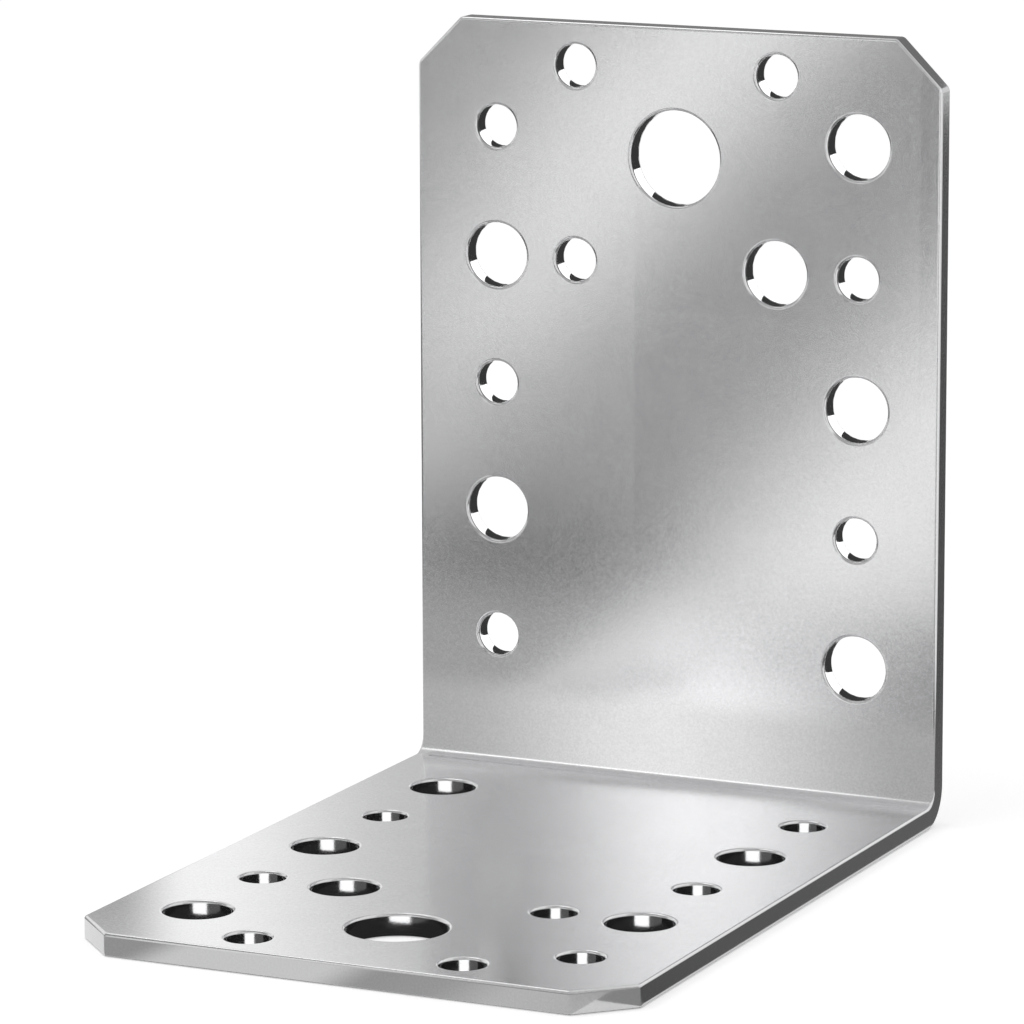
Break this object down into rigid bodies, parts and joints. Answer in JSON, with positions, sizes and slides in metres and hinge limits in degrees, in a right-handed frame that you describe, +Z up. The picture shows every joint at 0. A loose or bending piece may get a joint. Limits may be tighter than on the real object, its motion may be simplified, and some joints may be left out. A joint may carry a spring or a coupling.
{
  "type": "angle bracket",
  "caption": "Perforated right-angle bracket, folded from one strip of galvanised sheet steel, with clipped corners and nail, screw and bolt holes in both legs.",
  "frame": {"origin": "middle of the bracket's footprint, on the surface that it stands on", "axes": "+X along the fold, +Y from the free end of the base leg to the upright leg, +Z up the upright leg"},
  "size_m": [0.065, 0.09, 0.09],
  "materials": {
    "zinc_steel": "bright galvanised sheet, satin with a fine grain"
  },
  "bodies": {
    "root": {"bracket": "zinc_steel"}
  },
  "joints": []
}
